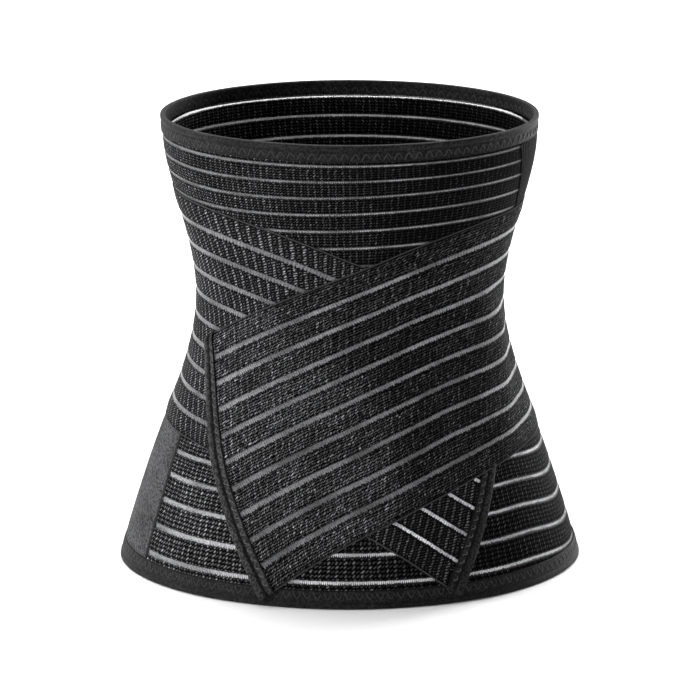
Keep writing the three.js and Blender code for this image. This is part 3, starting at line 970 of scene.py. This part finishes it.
def makeThreadPiece(name, path, upPath, material, closedPath):
    # a round thread: at each point of the path a ring square to it, held upright by the point above it
    ahead = np.roll(path, -1, 0) - np.roll(path, 1, 0)
    if not closedPath:
        ahead[0], ahead[-1] = path[1] - path[0], path[-1] - path[-2]
    ahead /= np.linalg.norm(ahead, axis=-1, keepdims=True)
    side = np.cross(ahead, upPath - path)
    side /= np.linalg.norm(side, axis=-1, keepdims=True)
    up = np.cross(side, ahead)
    turn = 2 * math.pi * np.arange(thread["sides"]) / thread["sides"]
    ring = np.cos(turn)[:, None] * side[:, None] + np.sin(turn)[:, None] * up[:, None]
    length = pathLength(np.concatenate([path, path[:1]]) if closedPath else path)
    uv = grid(length[:, None], turn / (2 * math.pi))
    return loft(name, path[:, None] + thread["radius"] * ring, uv, [material], closedPath=closedPath)


def hooked(count):
    # share of the way along, the swing from 1 to 0 and back like a wave, and the height over the tape: it
    # shows on the way to the fold and over the top of each swing, and goes back inside the tape
    s = np.arange(count * thread["steps"] + 1) / thread["steps"]
    own = np.mod(s, 1)
    swing = 0.5 + 0.5 * np.cos(2 * math.pi * own)
    shown = eased(own, 0.04, 0.16) * (1 - eased(own, 0.58, 0.72))
    return s / count, swing, mixed(-thread["sunk"], thread["proud"], shown)


def makeRimStitches(which, face):
    # a zigzag round the rim, on the tape's outer or inner flange
    settings = rimTapes[which]
    share, swing, lift = (part[:-1] for part in hooked(settings["loops"]))
    reach, way = (1.0, 1) if face == "outside" else (settings["inside"] / settings["outside"], -1)
    z = settings["rim"] + settings["inward"] * mixed(settings["near"], settings["far"], swing) * reach
    out = way * (tape["gap"] + tape["thickness"] + lift) - (0 if way > 0 else tube["thickness"])
    path, above = (onBody(360 * share, z, out + rise * way) for rise in (0, 0.001))
    return makeThreadPiece(which + "_stitches_" + face, path, above, rimThread, True)


def makeEndStitches(which, form):
    # a zigzag down the flat strip of a strap's end tape
    share, swing, lift = hooked(int(form["endEdge"] / endTapes["loop"]))
    back = mixed(endTapes["near"], endTapes["far"], swing)
    height = straps["thickness"] + tape["gap"] + tape["thickness"] + lift
    path, above = (strapSurface(form, back, mixed(0.03, 0.97, share), height + rise) for rise in (0, 0.001))
    return makeThreadPiece(which + "_strap_stitches", path, above, endThread, False)


stitches = {
    "top_tape": [makeRimStitches("top", "outside"), makeRimStitches("top", "inside")],
    "bottom_tape": [makeRimStitches("bottom", "outside"), makeRimStitches("bottom", "inside")],
    "under_strap_tape": [makeEndStitches("under", underForm)],
    "over_strap_tape": [makeEndStitches("over", overForm)],
}
print("stitches made")


# what each piece stands for

layout = [  # piece, its node and slot, flat size, how it is held and what it rests on
    (tubePiece, "base_panel", "striped_elastic", tube["flat"], "stretched", "bottom_binding"),
    (topTape, "top_binding", "binding_tape", topFlat, "folded", "base_panel"),
    (bottomTape, "bottom_binding", "binding_tape", bottomFlat, "folded", "base_panel"),
    (underStrap, "under_strap", "strap_elastic", straps["flat"], "stretched", "base_panel"),
    (overStrap, "over_strap", "strap_elastic", straps["flat"], "stretched", "base_panel"),
    (underTape, "under_strap_binding", "binding_tape", underFlat, "folded", "under_strap"),
    (overTape, "over_strap_binding", "binding_tape", overFlat, "folded", "over_strap"),
    (leftPanel, "left_side_panel", "brushed_panel", leftFlat, "laid", "base_panel"),
    (rightPanel, "right_side_panel", "plain_panel", rightFlat, "laid", "base_panel"),
]
for piece, node, slot, flat, held, base in layout:
    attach(piece, "root")
    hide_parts(node)
    sewn = stitches.get(piece.name, [])
    for stitch in sewn:
        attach(stitch, "root")


# floor, light and camera

studio = {
    "floorSize": 40.0, "floorLevel": 0.93,
    "floorDrop": 0.0004,  # below the hem, so that the two don't share a plane
    "worldLeft": 1.4, "worldRight": 0.2, "worldBehind": 0.7,
    "cameraBack": 2.5507, "cameraUp": 0.9535, "cameraPitch": 0.306485, "focal": 3890.86 / 700,
    "lights": {  # place, height that it aims at, size and power
        "softboxLeft": ((-2.0, -0.8, 0.7), 0.16, (1.0, 1.3), 44),
        "softboxRight": ((1.8, 1.4, 0.8), 0.16, (1.0, 1.6), 70),
        "softboxTop": ((-0.2, 0.9, 2.4), 0.2, (2.2, 1.8), 80),
    },
}


def makeFloor():
    half = studio["floorSize"] / 2
    mesh = bpy.data.meshes.new("floor")
    corners = [(-half, -half, 0), (half, -half, 0), (half, half, 0), (-half, half, 0)]
    mesh.from_pydata(corners, [], [(0, 1, 2, 3)])
    material, tree, shader = newMaterial("paleFloor", 0.9, Roughness=0.8)
    shader.inputs["Base Color"].default_value = (studio["floorLevel"],) * 3 + (1.0,)
    mesh.materials.append(material)
    floor = placed("floor", mesh)
    floor.location.z = -studio["floorDrop"]


def makeLight(name, place, aimAt, size, power):
    data = bpy.data.lights.new(name, "AREA")
    data.shape = "RECTANGLE"
    data.size, data.size_y = size
    data.energy = power
    light = placed(name, data)
    light.location = place
    away = light.location - Vector((0, 0, aimAt))
    light.rotation_euler = away.to_track_quat("Z", "Y").to_euler()


def makeCamera():
    data = bpy.data.cameras.new("camera")
    data.sensor_width = 36
    data.lens = studio["focal"] * data.sensor_width
    data.clip_end = 50
    camera = placed("camera", data)
    camera.location = (0, -studio["cameraBack"], studio["cameraUp"])
    camera.rotation_euler = (math.pi / 2 - studio["cameraPitch"], 0, 0)
    bpy.context.scene.camera = camera


def makeWorld():
    # the backdrop is plain white, and the light that it gives is stronger on the left and behind
    world = bpy.data.worlds.new("paleStudio")
    world.use_nodes = True
    tree = world.node_tree
    split = tree.nodes.new("ShaderNodeSeparateXYZ")
    tree.links.new(tree.nodes.new("ShaderNodeTexCoord").outputs["Generated"], split.inputs[0])
    left = faded(tree, split.outputs[0], -0.95, 0.15, studio["worldLeft"], studio["worldRight"])
    behind = faded(tree, split.outputs[1], -0.1, 0.9, 0.0, studio["worldBehind"])
    seen = tree.nodes.new("ShaderNodeLightPath").outputs["Is Camera Ray"]
    background = tree.nodes["Background"]
    background.inputs["Color"].default_value = (1, 1, 1, 1)
    plug(tree, background.inputs["Strength"], between(tree, seen, calc(tree, "ADD", left, behind), 1.0))
    bpy.context.scene.world = world


makeFloor()
for name, settings in studio["lights"].items():
    makeLight(name, *settings)
makeCamera()
makeWorld()
bpy.context.scene.view_settings.view_transform = "Standard"
print("studio made")
